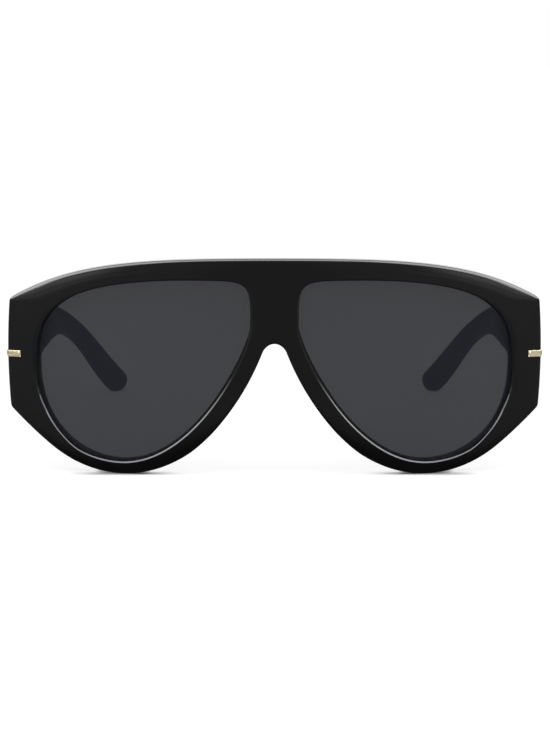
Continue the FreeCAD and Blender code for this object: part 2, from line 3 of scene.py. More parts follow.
import bmesh
import bpy
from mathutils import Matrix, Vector


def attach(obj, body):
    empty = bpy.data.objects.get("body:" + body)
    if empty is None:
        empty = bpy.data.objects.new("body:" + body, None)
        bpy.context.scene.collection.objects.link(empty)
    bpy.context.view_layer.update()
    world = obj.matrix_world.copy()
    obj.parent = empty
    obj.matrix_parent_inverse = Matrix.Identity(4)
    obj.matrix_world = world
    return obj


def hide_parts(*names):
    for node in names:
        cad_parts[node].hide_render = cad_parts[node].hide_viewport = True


# Oversized flat-top sunglasses. The part is drawn in millimetres, which become metres when a mesh is
# made; materials and the stage are in metres. +X is the wearer's left, the front faces -Y, and the
# angles of arcs are in degrees.

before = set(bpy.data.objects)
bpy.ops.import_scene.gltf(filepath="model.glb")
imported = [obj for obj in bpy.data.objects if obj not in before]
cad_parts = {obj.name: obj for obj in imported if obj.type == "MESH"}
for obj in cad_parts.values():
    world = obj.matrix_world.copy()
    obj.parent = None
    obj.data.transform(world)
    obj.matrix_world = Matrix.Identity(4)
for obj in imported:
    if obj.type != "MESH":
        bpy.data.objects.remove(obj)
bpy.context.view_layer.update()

MM = 0.001
SIDES = (("left", 1), ("right", -1))
FRONT_Y = -68.5

# Front: its face lies on an upright cylinder, and its outline is drawn flat
CURVE = 265.0
THICKNESS = 5.5
HALF_WIDTH = 74.0
HEIGHT = 60.0
UPPER_CORNER = (73.3, 48.0)
LOWER_CORNER = (73.4, 17.8)
SIDE_MIDDLE = 32.9
UPPER_ROUND = 0.75
LOWER_ROUND = 0.825
BROW_MIDDLE = 0.518
BROW_END = 0.276
BROW_FALL = math.radians(30.4)
BOTTOM_CENTRE = (41.915, 31.682)
BOTTOM_RADIUS = 31.682
SLANT_TURN = 4.6
NOSE_RADIUS = 74.518
NOSE_ANGLE = 46.0
ARCH_RADIUS = 3.55
ARCH_RISE = 0.25

# How far the lower edge of the rims is moved in, by the distance from the middle
LOWER_INSET = ((16, 0.0), (21, 0.17), (28, 0.20), (34, 0.10), (38, 0.0), (48, 0.03), (55, 0.10),
               (59, 0.12), (64, 0.06), (70, 0.04), (73, 0.0))

# Lens openings: the box, where each of its sides is touched, and how full each quarter is
OPENING = {"in": 6.73, "out": 66.27, "low": 3.66, "high": 53.94}
TOUCH = {"top": 0.25, "outer": 0.512, "bottom": 0.602, "nasal": 0.757}
FULLNESS = ((0.99, 0.487), (0.653, 0.51), (0.574, 0.15), (1.0, 1.02))
LENS_SETBACK = 1.8
LENS_THICKNESS = 1.9
GROOVE = 0.8
LENS_GAP = 0.05

# Temples, with y counted from the front of the face
TEMPLE_START = 15.16
TEMPLE_DEPTH = 136.7
TEMPLE_LOW = 24.3
TEMPLE_END_HEIGHT = 18.8
TEMPLE_BEND_HEIGHT = 10.6
TEMPLE_OUTER = 73.4
TEMPLE_THICKNESS = 3.8
TIP_THICKNESS = 3.2
TIP_WIDTH = 6.8
TIP_ANGLE = math.radians(41.3)
SPLAY = math.tan(math.radians(0.8))
HINGE_SEAT = 14.54
PLAN_BEND = 90.6
PLAN_RADIUS = 47.7
PLAN_TURN = math.radians(31.2)
LOWER_BEND = 99.5
UPPER_BEND = 91.1
BEND_FULLNESS = 0.43

# Rise of a temple's lower edge, by y
LOWER_WAVE = ((15, 0.0), (45, -0.1), (52, 0.0), (64, 0.33), (77, -0.02), (92, -0.45), (104, -0.3),
              (116, 0.0), (140, 0.0))

# Points on curves
BROW_STEPS = 90
SIDE_STEPS = 40
SLANT_STEPS = 30
BOTTOM_STEPS = 60
NOSE_STEPS = 30
ARCH_STEPS = 16
ROUND_STEPS = 8
OPENING_STEPS = 60

# Moves of an outline over this distance follow evened-out normals
FAR_INSET = 0.6

# Flat faces are cut at these places before they are bent
FRONT_SLICES = [2.0 * k for k in range(-36, 37)]
SLICE_MERGE = 0.01


# Numbers and plane curves

def share_of(value, start, end):
    """How far a value has come from start to end, from 0 to 1."""
    return min(max((value - start) / (end - start), 0.0), 1.0)


def smooth(t):
    return t * t * (3 - 2 * t)


def eased(table, value):
    """Value of a table of (position, number) pairs, with smooth steps in between and 0 outside."""
    for (a, first), (b, second) in zip(table, table[1:]):
        if a <= value <= b:
            return first + (second - first) * smooth((value - a) / (b - a))
    return 0.0


def bezier(p0, p1, p2, p3, count):
    points = []
    for i in range(count):
        t = i / count
        a, b, c, d = (1 - t) ** 3, 3 * t * (1 - t) ** 2, 3 * t * t * (1 - t), t ** 3
        points.append(tuple(a * p0[k] + b * p1[k] + c * p2[k] + d * p3[k] for k in range(2)))
    return points


def line(start, end, count):
    return [tuple(start[k] + (end[k] - start[k]) * i / count for k in range(2)) for i in range(count)]


def on_circle(centre, radius, angle):
    a = math.radians(angle)
    return centre[0] + radius * math.cos(a), centre[1] + radius * math.sin(a)


def arc(centre, radius, start, end, count):
    return [on_circle(centre, radius, start + (end - start) * i / count) for i in range(count)]


def circle_through(a, b, c):
    d = 2 * (a[0] * (b[1] - c[1]) + b[0] * (c[1] - a[1]) + c[0] * (a[1] - b[1]))
    sq = [p[0] ** 2 + p[1] ** 2 for p in (a, b, c)]
    x = (sq[0] * (b[1] - c[1]) + sq[1] * (c[1] - a[1]) + sq[2] * (a[1] - b[1])) / d
    z = (sq[0] * (c[0] - b[0]) + sq[1] * (a[0] - c[0]) + sq[2] * (b[0] - a[0])) / d
    return (x, z), math.hypot(a[0] - x, a[1] - z)


def angle_of(centre, point):
    return math.degrees(math.atan2(point[1] - centre[1], point[0] - centre[0]))


def rounded(before, corner, after, reach):
    """Two runs of points that meet in a corner, and the curve that joins them from reach before it."""
    clear = 1.15 * reach
    near = [p for p in before if math.dist(p, corner) > clear]
    far = [p for p in after if math.dist(p, corner) > clear]

    def at_reach(point):
        share = reach / math.dist(point, corner)
        return tuple(corner[k] + (point[k] - corner[k]) * share for k in range(2))

    start, end = at_reach(near[-1]), at_reach(far[0])
    curve = []
    for i in range(ROUND_STEPS + 1):
        t = i / ROUND_STEPS
        a, b, c = (1 - t) ** 2, 2 * t * (1 - t), t * t
        curve.append(tuple(a * start[k] + b * corner[k] + c * end[k] for k in range(2)))
    return near, curve, far


def nose_centre():
    """Centre of the circle along the side of the nose, which runs on from the bottom circle."""
    apart = NOSE_RADIUS - BOTTOM_RADIUS
    turn = math.radians(NOSE_ANGLE)
    return BOTTOM_CENTRE[0] + apart * math.sin(turn), BOTTOM_CENTRE[1] + apart * math.cos(turn)


def front_outline():
    """Closed outline of the front, clockwise as seen from the front, from the middle of its top."""
    reach = BROW_END * UPPER_CORNER[0]
    brow_end = (UPPER_CORNER[0] - reach * math.cos(BROW_FALL),
                UPPER_CORNER[1] + reach * math.sin(BROW_FALL))
    brow = bezier((0.0, HEIGHT), (BROW_MIDDLE * UPPER_CORNER[0], HEIGHT), brow_end, UPPER_CORNER,
                  BROW_STEPS)
    side_centre, side_radius = circle_through(UPPER_CORNER, (HALF_WIDTH, SIDE_MIDDLE), LOWER_CORNER)
    side = arc(side_centre, side_radius, angle_of(side_centre, UPPER_CORNER),
               angle_of(side_centre, LOWER_CORNER), SIDE_STEPS)

    # The slant from the lower corner is an arc that runs into the bottom circle
    away = LOWER_CORNER[0] - BOTTOM_CENTRE[0], LOWER_CORNER[1] - BOTTOM_CENTRE[1]
    straight = math.degrees(math.atan2(away[1], away[0])
                            - math.acos(BOTTOM_RADIUS / math.hypot(*away)))
    touch = straight - SLANT_TURN
    meet = on_circle(BOTTOM_CENTRE, BOTTOM_RADIUS, touch)
    along = sum(away[k] * (meet[k] - BOTTOM_CENTRE[k]) for k in range(2)) / BOTTOM_RADIUS
    slant_radius = math.dist(LOWER_CORNER, meet) ** 2 / (2 * (BOTTOM_RADIUS - along))
    slant_centre = on_circle(BOTTOM_CENTRE, BOTTOM_RADIUS - slant_radius, touch)
    slant = arc(slant_centre, slant_radius, angle_of(slant_centre, LOWER_CORNER), touch, SLANT_STEPS)
    brow, upper_curve, side = rounded(brow, UPPER_CORNER, side[1:], UPPER_ROUND)
    side, lower_curve, slant = rounded(side, LOWER_CORNER, slant[1:], LOWER_ROUND)

    nose = nose_centre()
    arch = 0.0, nose[1] - math.sqrt((NOSE_RADIUS + ARCH_RADIUS) ** 2 - nose[0] ** 2)
    to_arch = angle_of(nose, arch)
    bottom = arc(BOTTOM_CENTRE, BOTTOM_RADIUS, touch, -90 - NOSE_ANGLE, BOTTOM_STEPS)
    nose_side = arc(nose, NOSE_RADIUS, -90 - NOSE_ANGLE, to_arch - (360 if to_arch > 0 else 0),
                    NOSE_STEPS)
    arch_top = arc(arch, ARCH_RADIUS, to_arch + 180, 90, ARCH_STEPS)
    foot, peak = arch_top[0][1], arch[1] + ARCH_RADIUS
    arch_top = [(x, z + ARCH_RISE * ((z - foot) / (peak - foot)) ** 2) for x, z in arch_top]

    half = brow + upper_curve + side + lower_curve + slant + bottom + nose_side + arch_top
    points = half + [(0.0, peak + ARCH_RISE)] + [(-x, z) for x, z in reversed(half[1:])]
    return inset(points, [eased(LOWER_INSET, abs(x)) if z < LOWER_CORNER[1] else 0.0
                          for x, z in points])


def opening_outline(sign):
    """Closed outline of one lens opening, from where its top is touched over its outer side."""
    left, right, low, high = (OPENING[k] for k in ("in", "out", "low", "high"))
    top_x = left + TOUCH["top"] * (right - left)
    bottom_x = left + TOUCH["bottom"] * (right - left)
    outer_z = low + TOUCH["outer"] * (high - low)
    nasal_z = low + TOUCH["nasal"] * (high - low)
    corners = [(top_x, high), (right, outer_z), (bottom_x, low), (left, nasal_z), (top_x, high)]
    points = []
    for index, (first, second) in enumerate(FULLNESS):
        (x0, z0), (x1, z1) = corners[index], corners[index + 1]
        if index % 2 == 0:
            handles = (x0 + first * (x1 - x0), z0), (x1, z1 + second * (z0 - z1))
        else:
            handles = (x0, z0 + first * (z1 - z0)), (x1 + second * (x0 - x1), z1)
        points += bezier((x0, z0), *handles, (x1, z1), OPENING_STEPS)
    return [(sign * x, z) for x, z in points]


def normals_of(points):
    """Unit normals of a closed outline that point into its inside."""
    count = len(points)
    area = sum(points[i - 1][0] * points[i][1] - points[i][0] * points[i - 1][1]
               for i in range(count))
    sign = 1 if area > 0 else -1
    found = []
    for i in range(count):
        a, b = points[i - 1], points[(i + 1) % count]
        dx, dz = b[0] - a[0], b[1] - a[1]
        length = math.hypot(dx, dz) or 1.0
        found.append((-dz / length * sign, dx / length * sign))
    return found


def evened(points, values, reach):
    """Values along a closed outline, averaged within reach of each point, nearer ones more."""
    count = len(points)
    steps = [math.dist(points[i], points[(i + 1) % count]) for i in range(count)]
    result = []
    for i in range(count):
        total = list(values[i])
        weight = 1.0
        for way in (1, -1):
            run, j = 0.0, i
            while True:
                run += steps[j] if way == 1 else steps[j - 1]
                j = (j + way) % count
                if run > reach:
                    break
                share = (steps[j] + steps[j - 1]) / 2 * (1 - run / reach)
                total = [t + v * share for t, v in zip(total, values[j])]
                weight += share
        result.append([t / weight for t in total])
    return result


def inset(points, distances):
    """The outline moved in by one distance or by one for each point, without crossing at corners."""
    if not isinstance(distances, list):
        distances = [distances] * len(points)
    normals = normals_of(points)
    if max(distances) > FAR_INSET:
        normals = evened(points, normals, 2.0 * max(distances))
    return [(x + nx * reach, z + nz * reach)
            for (x, z), (nx, nz), reach in zip(points, normals, distances)]


def quarter(radius, steps):
    """Quarter-round from the face (inset by radius) to the wall, as (inset, depth) pairs."""
    pairs = []
    for i in range(steps + 1):
        a = math.pi / 2 * i / steps
        pairs.append((radius * (1 - math.sin(a)), radius * (1 - math.cos(a))))
    return pairs


# Meshes

def add_ring(bm, points):
    return [bm.verts.new(p) for p in points]


def skin(bm, rings):
    """Faces between neighbouring rings."""
    for first, second in zip(rings, rings[1:]):
        for i in range(len(first)):
            j = (i + 1) % len(first)
            bm.faces.new((first[i], first[j], second[j], second[i]))


def fill(bm, *rings):
    """Flat faces inside the first ring and outside the others."""
    edges = []
    for ring in rings:
        for pair in zip(ring[-1:] + ring, ring):
            edges.append(bm.edges.get(pair) or bm.edges.new(pair))
    bmesh.ops.triangle_fill(bm, use_beauty=True, edges=edges)


def skin_and_close(bm, rings):
    skin(bm, rings)
    fill(bm, rings[0])
    fill(bm, rings[-1])


def slice_along(bm, axis, positions):
    normal = [0.0, 0.0, 0.0]
    normal[axis] = 1.0
    for position in positions:
        place = [position * n for n in normal]
        geometry = bm.verts[:] + bm.edges[:] + bm.faces[:]
        bmesh.ops.bisect_plane(bm, geom=geometry, dist=SLICE_MERGE, plane_co=place, plane_no=normal)


def finish_mesh(bm, node, to_space, material, body):
    """Bends the flat mesh into place and hands it to its body, instead of the part's own node."""
    for vert in bm.verts:
        vert.co = [value * MM for value in to_space(*vert.co)]
    bmesh.ops.recalc_face_normals(bm, faces=bm.faces[:])
    mesh = bpy.data.meshes.new(f"{node}_mesh")
    bm.to_mesh(mesh)
    bm.free()
    mesh.shade_smooth()
    piece = bpy.data.objects.new(f"{node}_mesh", mesh)
    bpy.context.scene.collection.objects.link(piece)
    mesh.materials.append(material)
    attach(piece, body)
    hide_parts(node)


def on_front(x, depth, z):
    """Flat front coordinates to space."""
    return x, CURVE - math.sqrt((CURVE - depth) ** 2 - x * x) + FRONT_Y, z


# Nodes of materials

def new_material(name):
    material = bpy.data.materials.new(name)
    material.use_nodes = True
    return material, material.node_tree, material.node_tree.nodes["Principled BSDF"]


def set_inputs(node, values):
    for name, value in values.items():
        node.inputs[name].default_value = value


def object_place(tree):
    return tree.nodes.new("ShaderNodeTexCoord").outputs["Object"]


def noise(tree, scale, detail, stretch=None):
    """Noise in object space, as a factor from 0 to 1."""
    place = object_place(tree)
    texture = tree.nodes.new("ShaderNodeTexNoise")
    set_inputs(texture, {"Scale": scale, "Detail": detail})
    if stretch:
        mapping = tree.nodes.new("ShaderNodeMapping")
        mapping.inputs["Scale"].default_value = stretch
        tree.links.new(place, mapping.inputs["Vector"])
        place = mapping.outputs["Vector"]
    tree.links.new(place, texture.inputs["Vector"])
    return texture.outputs["Fac"]


def vary(tree, shader, name, factor, low, high):
    """Lets a factor move an input of the shader between two colours or two grey values."""
    item = tree.nodes.new("ShaderNodeValToRGB")
    for element, position, value in zip(item.color_ramp.elements, (0.3, 0.7), (low, high)):
        element.position = position
        element.color = (*value, 1.0) if isinstance(value, tuple) else (value, value, value, 1.0)
    tree.links.new(factor, item.inputs["Fac"])
    tree.links.new(item.outputs["Color"], shader.inputs[name])


def add_bump(tree, shader, height, strength, distance):
    bump = tree.nodes.new("ShaderNodeBump")
    set_inputs(bump, {"Strength": strength, "Distance": distance})
    tree.links.new(height, bump.inputs["Height"])
    tree.links.new(bump.outputs["Normal"], shader.inputs["Normal"])


def calc(tree, operation, *values):
    """Math node; each value is a socket or a number."""
    item = tree.nodes.new("ShaderNodeMath")
    item.operation = operation
    for entry, value in zip(item.inputs, values):
        if isinstance(value, float):
            entry.default_value = value
        else:
            tree.links.new(value, entry)
    return item.outputs["Value"]


def smooth_step(tree, value, limits, levels):
    """Takes a value from one level to the other between two limits."""
    item = tree.nodes.new("ShaderNodeMapRange")
    item.interpolation_type = "SMOOTHSTEP"
    set_inputs(item, dict(zip(("From Min", "From Max", "To Min", "To Max"), (*limits, *levels))))
    tree.links.new(value, item.inputs["Value"])
    return item.outputs["Result"]


def split(tree, vector):
    item = tree.nodes.new("ShaderNodeSeparateXYZ")
    tree.links.new(vector, item.inputs["Vector"])
    return item.outputs


def emission(tree, strength):
    item = tree.nodes.new("ShaderNodeEmission")
    tree.links.new(strength, item.inputs["Strength"])
    return item.outputs["Emission"]


def combined(tree, kind, *values):
    """Add or mix shader; a mix starts with its factor."""
    item = tree.nodes.new(kind)
    for entry, value in zip(item.inputs, values):
        tree.links.new(value, entry)
    return item.outputs["Shader"]


# Materials of the part

def acetate():
    material, tree, shader = new_material("black_acetate")
    vary(tree, shader, "Base Color", noise(tree, 90.0, 5.0),
         (0.0022, 0.0022, 0.0024), (0.0042, 0.0041, 0.0042))
    vary(tree, shader, "Roughness", noise(tree, 420.0, 4.0), 0.045, 0.085)
    set_inputs(shader, {"Specular IOR Level": 0.17, "IOR": 1.48})
    add_bump(tree, shader, noise(tree, 260.0, 2.0), 0.05, 0.00002)
    return material


def lens_tint():
    material, tree, shader = new_material("grey_lens")
    vary(tree, shader, "Base Color", noise(tree, 25.0, 2.0),
         (0.0225, 0.0256, 0.0350), (0.0237, 0.0270, 0.0366))
    vary(tree, shader, "Roughness", noise(tree, 160.0, 3.0), 0.02, 0.035)
    set_inputs(shader, {"Specular IOR Level": 0.05, "Alpha": 0.803})
    return material


def metal(name, colours, roughness, stretch, strength):
    """Metal with fine brush marks along one direction."""
    material, tree, shader = new_material(name)
    marks = noise(tree, 900.0, 6.0, stretch)
    vary(tree, shader, "Base Color", marks, *colours)
    vary(tree, shader, "Roughness", marks, *roughness)
    shader.inputs["Metallic"].default_value = 1.0
    add_bump(tree, shader, marks, strength, 0.00001)
    return material


ACETATE = acetate()
LENS = lens_tint()
GOLD = metal("gold_trim", ((0.30, 0.262, 0.173), (0.39, 0.345, 0.235)), (0.26, 0.40),
             (0.3, 0.3, 3.0), 0.10)
NICKEL = metal("hinge_steel", ((0.50, 0.48, 0.45), (0.64, 0.62, 0.58)), (0.22, 0.36),
               (1.0, 1.0, 5.0), 0.15)
WIRE = metal("core_steel", ((0.46, 0.46, 0.46), (0.58, 0.58, 0.58)), (0.30, 0.42),
             (4.0, 0.4, 4.0), 0.15)


# Front

# Crown: the face falls away to the edge, by less in the middle and near the corners of the ends
FACE_CROWN = 4.4
CROWN_HEM = 0.4
CROWN_WIDTH = FACE_CROWN + CROWN_HEM
CROWN_STEPS = 8
CROWN_POWER = 2.5
CROWN_LEAST = 0.15
CROWN_EVEN = 6.5
RIM_CLEAR = 1.6
FACE_DROP = 0.30
DROP_SHARE = ((0, 0.2), (16, 0.2), (42, 1.0), (75, 1.0))
CORNER_LEAST = 0.15
CORNER_RUN = 9.0

# Bevel on the front edge, wider where the brow falls away to the ends, and the rounded back edge
EDGE = 0.22
EDGE_MORE = 0.6
EDGE_STEEPEST = 0.5
EDGE_EVEN = 3.2
EDGE_SOFT = 0.03
EDGE_DIP = 0.02
FACING_UP = -0.3
BACK_ROUND = 0.45
BACK_HEM = 0.5
BACK_STEPS = 4

# Bevel round a lens opening, by the direction its edge faces in degrees: 0 is the outer side, facing
# the nose, 90 the bottom, 180 the nose side and 270 the top; then its middle, half its width and its
# steepness.
BEVEL = ((-90, 0.36, 0.06, 1.0), (-62, 0.24, 0.14, 0.3), (-40, 0.24, 0.38, 0.20),
         (-20, 0.26, 0.59, 0.22), (-7, 0.26, 0.62, 0.33), (-1, 0.22, 0.48, 0.45),
         (4, 0.12, 0.30, 0.5), (9, 0.00, 0.18, 0.6), (14, -0.10, 0.15, 1.0), (24, -0.26, 0.15, 1.0),
         (32, -0.24, 0.12, 1.0), (44, -0.10, 0.07, 1.0), (52, 0.18, 0.07, 1.0), (60, 0.44, 0.08, 1.0),
         (78, 0.36, 0.12, 1.0), (95, 0.43, 0.15, 1.0), (125, 0.58, 0.15, 1.0), (140, 0.69, 0.14, 1.0),
         (152, 0.68, 0.14, 1.0), (166, 0.52, 0.13, 1.0), (180, 0.38, 0.12, 1.0),
         (205, 0.34, 0.12, 0.8), (235, 0.35, 0.08, 0.8), (270, 0.36, 0.06, 1.0))
BEVEL_EVEN = 1.6
BEVEL_LIP = 0.05
BEVEL_HEM = 0.06


def corner_share(point):
    """Rises from the corners of the front's ends to 1 further along."""
    place = abs(point[0]), point[1]
    corner = min(math.dist(place, other) for other in (UPPER_CORNER, LOWER_CORNER))
    return min(CORNER_LEAST + corner / CORNER_RUN, 1.0)


def edge_widths(outline):
    """Width of the bevel on the front edge at each point."""
    widths = []
    for point, (nx, nz) in zip(outline, normals_of(outline)):
        more = EDGE_MORE * min(abs(nx), EDGE_STEEPEST) * corner_share(point) if nz < FACING_UP else 0.0
        widths.append((EDGE + more,))
    return [width for width, in evened(outline, widths, EDGE_EVEN)]


def crown_shares(outline):
    """How much of the crown's width fits between each point of the outline and the lens openings."""
    near = opening_outline(1) + opening_outline(-1)
    shares = []
    for point in outline:
        room = min(math.dist(point, other) for other in near) - RIM_CLEAR
        room = min(room, EDGE + CROWN_WIDTH * corner_share(point))
        shares.append((min(max((room - EDGE) / CROWN_WIDTH, CROWN_LEAST), 1.0),))
    return [share for share, in evened(outline, shares, CROWN_EVEN)]


def outer_rings(outline):
    """Edge of the front as (insets, depths) of rings: crown, bevel, wall and rounded back edge."""
    count = len(outline)
    shares, edges = crown_shares(outline), edge_widths(outline)
    drops = [FACE_DROP * eased(DROP_SHARE, abs(x)) * corner_share((x, z)) for x, z in outline]
    rings = [([e + CROWN_WIDTH * k for e, k in zip(edges, shares)], [0.0] * count)]
    for i in range(CROWN_STEPS + 1):
        part = i / CROWN_STEPS
        rings.append(([e + FACE_CROWN * k * (1 - part) for e, k in zip(edges, shares)],
                      [drop * part ** CROWN_POWER for drop in drops]))
    rings.append(([e - EDGE_SOFT for e in edges], [drop + EDGE_DIP for drop in drops]))
    rings.append(([EDGE_SOFT] * count, [drop + e - EDGE_SOFT for drop, e in zip(drops, edges)]))
    rings.append(([0.0] * count, [drop + e + EDGE_SOFT for drop, e in zip(drops, edges)]))
    for distance, depth in reversed(quarter(BACK_ROUND, BACK_STEPS)):
        rings.append(([distance] * count, [THICKNESS - depth] * count))
    rings.append(([BACK_ROUND + BACK_HEM] * count, [THICKNESS] * count))
    return rings


def bevel_at(direction):
    for (a, *first), (b, *second) in zip(BEVEL, BEVEL[1:]):
        if a <= direction <= b:
            t = (direction - a) / (b - a)
            return [u + (v - u) * t for u, v in zip(first, second)]


def opening_rings(outline, sign):
    """Rings of the edge of a lens opening, front to back."""
    front = LENS_SETBACK - LENS_GAP
    back = LENS_SETBACK + LENS_THICKNESS + LENS_GAP
    normals = normals_of(outline)
    bevels = []
    for nx, nz in normals:
        bevels.append(bevel_at((math.degrees(math.atan2(nz, -sign * nx)) + 90) % 360 - 90))
    profiles = []
    for middle, half, steep in evened(outline, bevels, BEVEL_EVEN):
        outer, inner = middle + half, middle - half
        lip, hem = BEVEL_LIP * steep, min(BEVEL_HEM, half / 2)
        depth = lip + 2 * half * steep
        profiles.append([
            # face and bevel
            (outer + 0.28, 0.0), (outer + 0.11, 0.0), (outer + 0.05, 0.2 * lip), (outer, lip),
            (outer - hem, lip + hem * steep), (inner + hem, depth - hem * steep), (inner, depth),
            # wall as far as the lens
            (inner - 0.03, depth + 0.05), (inner - 0.04, depth + 0.12),
            (0.08, front - 0.12), (0.05, front - 0.04), (0.09, front),
            # groove
            (GROOVE, front), (GROOVE, back), (0.05, back),
            # wall behind the lens and rounded back edge
            (0.0, back + 0.06), (0.0, THICKNESS - 0.55), (0.04, THICKNESS - 0.34),
            (0.16, THICKNESS - 0.16), (0.34, THICKNESS - 0.04), (0.55, THICKNESS), (1.0, THICKNESS)])
    rings = []
    for pairs in zip(*profiles):
        ring = []
        for (x, z), (nx, nz), (distance, depth) in zip(outline, normals, pairs):
            ring.append(((x - nx * distance) * (1 - depth / CURVE), depth, z - nz * distance))
        rings.append(ring)
    return rings


def front_frame():
    bm = bmesh.new()
    outline = front_outline()
    rings = []
    for distances, depths in outer_rings(outline):
        points = zip(inset(outline, distances), depths)
        rings.append(add_ring(bm, [(x, depth, z) for (x, z), depth in points]))
    skin(bm, rings)
    front_rings, back_rings = [rings[0]], [rings[-1]]
    for _, sign in SIDES:
        hole = [add_ring(bm, ring) for ring in opening_rings(opening_outline(sign), sign)]
        skin(bm, hole)
        front_rings.append(hole[0])
        back_rings.append(hole[-1])
    fill(bm, *front_rings)
    fill(bm, *back_rings)
    slice_along(bm, 0, FRONT_SLICES)
    finish_mesh(bm, "front_frame", on_front, ACETATE, "front")


# Lenses and nose pads

LENS_CHAMFER = 0.15
LENS_HEM = 0.6

PAD_ANGLES = (55.5, 63.5)
PAD_WIDTH = 4.4
PAD_INSET = 2.6
PAD_DEPTH = 3.8
PAD_SIDE_STEPS = 14
PAD_CAP_STEPS = 12
PAD_EDGE = 0.02
PAD_ROUND = 1.5
PAD_ROUND_DEPTH = 1.4
PAD_ROUND_STEPS = 6


def lens(side, sign):
    bm = bmesh.new()
    outline = opening_outline(sign)
    edge = GROOVE - LENS_GAP
    front, back = LENS_SETBACK, LENS_SETBACK + LENS_THICKNESS
    profile = [(edge - LENS_HEM, front), (edge - LENS_CHAMFER, front), (edge, front + LENS_CHAMFER),
               (edge, back - LENS_CHAMFER), (edge - LENS_CHAMFER, back), (edge - LENS_HEM, back)]
    rings = []
    for distance, depth in profile:
        shrink = 1 - depth / CURVE
        rings.append(add_ring(bm, [(x * shrink, depth, z) for x, z in inset(outline, -distance)]))
    skin_and_close(bm, rings)
    slice_along(bm, 0, FRONT_SLICES)
    finish_mesh(bm, f"lens_{side}", on_front, LENS, "front")


def pad_outline(sign, distance):
    """Slot along the side of the nose, with round ends, made smaller all round by a distance."""
    nose = nose_centre()
    middle, half = NOSE_RADIUS - PAD_INSET, PAD_WIDTH / 2 - distance
    start, end = (-90 - a for a in PAD_ANGLES)
    points = arc(nose, middle - half, start, end, PAD_SIDE_STEPS)
    points += arc(on_circle(nose, middle, end), half, end - 180, end, PAD_CAP_STEPS)
    points += arc(nose, middle + half, end, start, PAD_SIDE_STEPS)
    points += arc(on_circle(nose, middle, start), half, start, start + 180, PAD_CAP_STEPS)
    return [(sign * x, z) for x, z in points]


def nose_pad(side, sign):
    bm = bmesh.new()
    top = THICKNESS + PAD_DEPTH
    # A foot that widens to the front, the wall and a rounded top
    profile = [(-0.35, THICKNESS - 0.3), (-0.30, THICKNESS + 0.05), (-0.12, THICKNESS + 0.35),
               (0.0, THICKNESS + 0.8), (PAD_EDGE, top - PAD_ROUND)]
    for i in range(1, PAD_ROUND_STEPS + 1):
        a = math.pi / 2 * i / PAD_ROUND_STEPS
        profile.append((PAD_EDGE + PAD_ROUND * (1 - math.cos(a)),
                        top - PAD_ROUND + PAD_ROUND_DEPTH * math.sin(a)))
    profile.append((1.9, top - 0.05))
    rings = []
    for distance, depth in profile:
        rings.append(add_ring(bm, [(x, depth, z) for x, z in pad_outline(sign, distance)]))
    skin_and_close(bm, rings)
    finish_mesh(bm, f"nose_pad_{side}", on_front, ACETATE, "front")


# Corner trims: a bar on the face that narrows in the turn and runs back along the side

TRIM_IN = 70.32
TRIM_SIDE = 74.05
TRIM_HALF = 0.87
TRIM_SIDE_HALF = 0.52
TRIM_SIDE_RISE = 0.28
TRIM_TURN = 0.7
TRIM_BACK = 4.4
TRIM_MIDDLE = 32.70
TRIM_FACE_END = TRIM_SIDE - TRIM_TURN
TRIM_FACE_LENGTH = TRIM_FACE_END - TRIM_IN
TRIM_TURN_LENGTH = TRIM_TURN * math.pi / 2
TRIM_NARROW_FROM = 0.75
TRIM_NARROW_RUN = 0.25
TRIM_SPACING = 0.2
TRIM_PROFILE = ((0.0, -0.7), (0.0, 0.29), (0.006, 0.308), (0.018, 0.317), (0.04, 0.32), (0.42, 0.32))


def trim_path(s):
    """Point and outward direction on the front's end: along the face, round the turn, along the side."""
    if s <= TRIM_FACE_LENGTH:
        x = TRIM_IN + s
        y = CURVE - math.sqrt(CURVE ** 2 - x * x)
        return (x, y), (x / CURVE, -math.sqrt(1 - (x / CURVE) ** 2))
    corner_y = CURVE - math.sqrt(CURVE ** 2 - TRIM_FACE_END ** 2)
    a = min((s - TRIM_FACE_LENGTH) / TRIM_TURN, math.pi / 2)
    out = math.sin(a), -math.cos(a)
    point = (TRIM_FACE_END + TRIM_TURN * out[0], corner_y + TRIM_TURN + TRIM_TURN * out[1])
    return (point[0], point[1] + max(0.0, s - TRIM_FACE_LENGTH - TRIM_TURN_LENGTH)), out


def corner_trim(side, sign):
    total = TRIM_FACE_LENGTH + TRIM_TURN_LENGTH + TRIM_BACK
    wide = TRIM_FACE_LENGTH + TRIM_TURN * TRIM_NARROW_FROM
    narrow = wide + TRIM_NARROW_RUN
    low, high = -TRIM_SIDE_HALF + TRIM_SIDE_RISE, TRIM_SIDE_HALF + TRIM_SIDE_RISE
    corners = [(0.0, -TRIM_HALF), (wide, -TRIM_HALF), (narrow, low), (total, low),
               (total, high), (narrow, high), (wide, TRIM_HALF), (0.0, TRIM_HALF)]
    outline = []
    for corner, after in zip(corners, corners[1:] + corners[:1]):
        outline += line(corner, after, max(2, round(math.dist(corner, after) / TRIM_SPACING)))
    bm = bmesh.new()
    rings = []
    for distance, height in TRIM_PROFILE:
        rings.append(add_ring(bm, [(s, height, z) for s, z in inset(outline, distance)]))
    skin_and_close(bm, rings)

    def to_space(s, height, z):
        (x, y), out = trim_path(s)
        return sign * (x + out[0] * height), y + out[1] * height + FRONT_Y, TRIM_MIDDLE + z

    finish_mesh(bm, f"corner_trim_{side}", to_space, GOLD, "front")


# Temples

# Rounding of the edges: less at the front end, more towards the tip
EDGE_ROUND = 1.0
EDGE_ROUND_STEPS = 7
SIDE_HEM = 0.3
BUTT_ROUND_SHARE = 0.3
BUTT_RUN = 5.0
BUTT_GAP = 0.15
TIP_ROUND_SHARE = 1.45
TIP_ROUND_RUN = (LOWER_BEND + 12, LOWER_BEND + 34)

